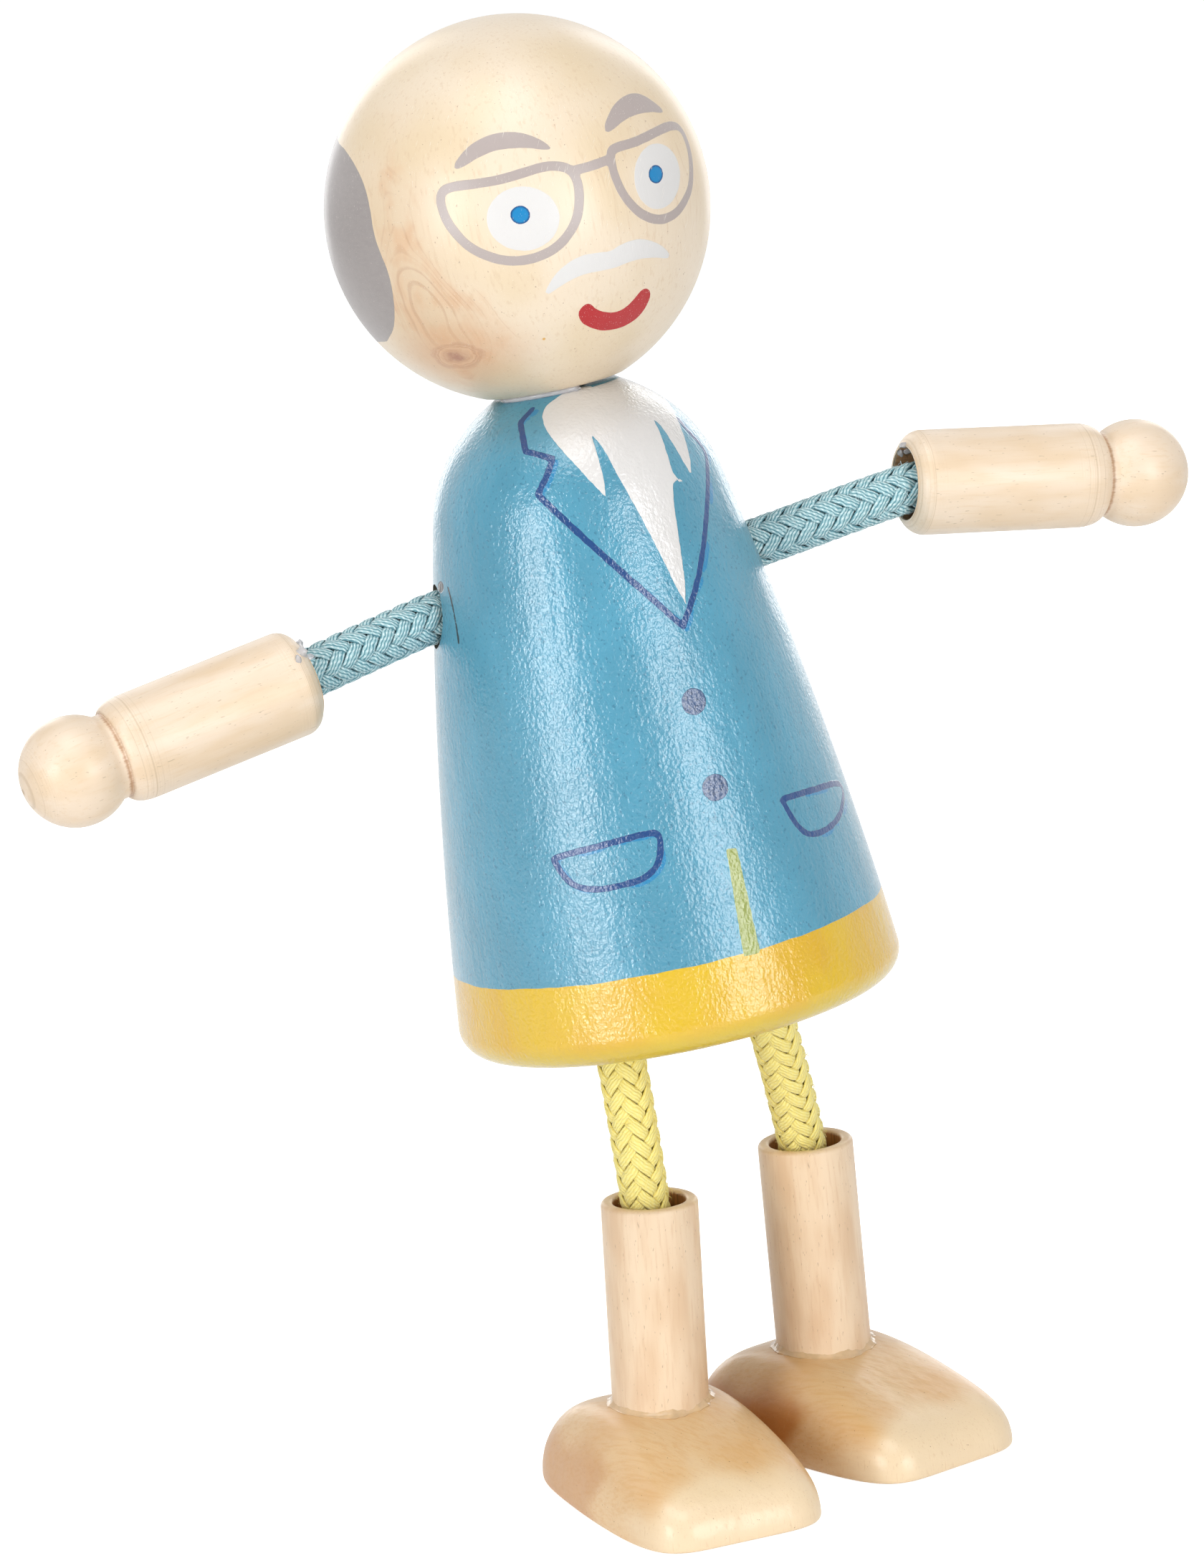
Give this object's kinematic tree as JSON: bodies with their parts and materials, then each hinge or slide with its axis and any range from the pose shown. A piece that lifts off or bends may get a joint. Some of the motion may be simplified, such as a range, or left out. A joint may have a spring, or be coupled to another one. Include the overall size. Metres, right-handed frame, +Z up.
{
  "type": "bendy doll",
  "caption": "Standing wooden doll with a ball head, a turned coat-shaped body, cord arms with turned hands, and cord legs in wooden tubes on shaped feet.",
  "frame": {"origin": "on the floor, at the middle of the posed doll's outline seen from above", "axes": "+Z up from the soles to the head; the body faces -Y, so the doll's left hand is at +X"},
  "size_m": [0.1032, 0.0402, 0.1256],
  "materials": {
    "painted_head": "satin clear varnish over wood, with a painted face and hair",
    "blue_coat_paint": "satin blue paint with a yellow hem band and painted lapels, buttons and pockets",
    "lacquered_hand_wood": "pale turned wood, satin lacquer",
    "bare_leg_wood": "pale bare wood",
    "lacquered_foot_wood": "glossy lacquered wood",
    "teal_cotton_cord": "braided cotton cord",
    "yellow_cotton_cord": "braided cotton cord",
    "soft_steel_wire": "soft annealed wire",
    "beech_dowel": "bare beech"
  },
  "bodies": {
    "body": {"torso": "blue_coat_paint", "head": "painted_head", "neck_dowel": "beech_dowel"},
    "right_arm_cord": {"right_arm_cord": "teal_cotton_cord", "right_arm_wire": "soft_steel_wire"},
    "right_hand": {"right_hand": "lacquered_hand_wood"},
    "right_leg_cord": {"right_leg_cord": "yellow_cotton_cord", "right_leg_wire": "soft_steel_wire"},
    "right_lower_leg": {"right_leg_tube": "bare_leg_wood", "right_foot": "lacquered_foot_wood"},
    "left_arm_cord": {"left_arm_cord": "teal_cotton_cord", "left_arm_wire": "soft_steel_wire"},
    "left_hand": {"left_hand": "lacquered_hand_wood"},
    "left_leg_cord": {"left_leg_cord": "yellow_cotton_cord", "left_leg_wire": "soft_steel_wire"},
    "left_lower_leg": {"left_leg_tube": "bare_leg_wood", "left_foot": "lacquered_foot_wood"}
  },
  "joints": [
    {"name": "right_arm_raise", "type": "hinge", "parent": "body", "child": "right_arm_cord", "pos_m": [-0.0172, 0.00404, 0.07589], "axis": [0.0079, 0.9969, -0.0781], "range_deg": [-45, 70], "deforming": ["right_arm_cord", "right_arm_wire"]},
    {"name": "right_hand_swing", "type": "hinge", "parent": "right_arm_cord", "child": "right_hand", "pos_m": [-0.02344, 0.00306, 0.07442], "axis": [-0.1007, 0.0785, 0.9918], "range_deg": [-60, 60], "deforming": ["right_arm_cord", "right_arm_wire"]},
    {"name": "left_arm_raise", "type": "hinge", "parent": "body", "child": "left_arm_cord", "pos_m": [0.01611, -0.00183, 0.08059], "axis": [-0.0079, -0.9969, 0.0781], "range_deg": [-45, 70], "deforming": ["left_arm_cord", "left_arm_wire"]},
    {"name": "left_hand_swing", "type": "hinge", "parent": "left_arm_cord", "child": "left_hand", "pos_m": [0.02285, -0.00299, 0.08223], "axis": [0.1007, -0.0785, -0.9918], "range_deg": [-60, 60], "deforming": ["left_arm_cord", "left_arm_wire"]},
    {"name": "right_leg_swing", "type": "hinge", "parent": "body", "child": "right_leg_cord", "pos_m": [-0.00322, -0.00226, 0.03673], "axis": [-0.9659, -0.2588, 0], "range_deg": [-45, 80], "deforming": ["right_leg_cord", "right_leg_wire"]},
    {"name": "right_leg_splay", "type": "hinge", "parent": "right_leg_cord", "child": "right_lower_leg", "pos_m": [-0.00252, -0.00231, 0.02922], "axis": [0, 1, 0], "range_deg": [0, 40], "deforming": ["right_leg_cord", "right_leg_wire"]},
    {"name": "left_leg_swing", "type": "hinge", "parent": "body", "child": "left_leg_cord", "pos_m": [0.01144, -0.00082, 0.03796], "axis": [-0.9659, -0.2588, 0], "range_deg": [-45, 80], "deforming": ["left_leg_cord", "left_leg_wire"]},
    {"name": "left_leg_splay", "type": "hinge", "parent": "left_leg_cord", "child": "left_lower_leg", "pos_m": [0.01408, 0.0022, 0.03022], "axis": [0.2588, -0.9659, 0], "range_deg": [0, 40], "deforming": ["left_leg_cord", "left_leg_wire"]}
  ]
}
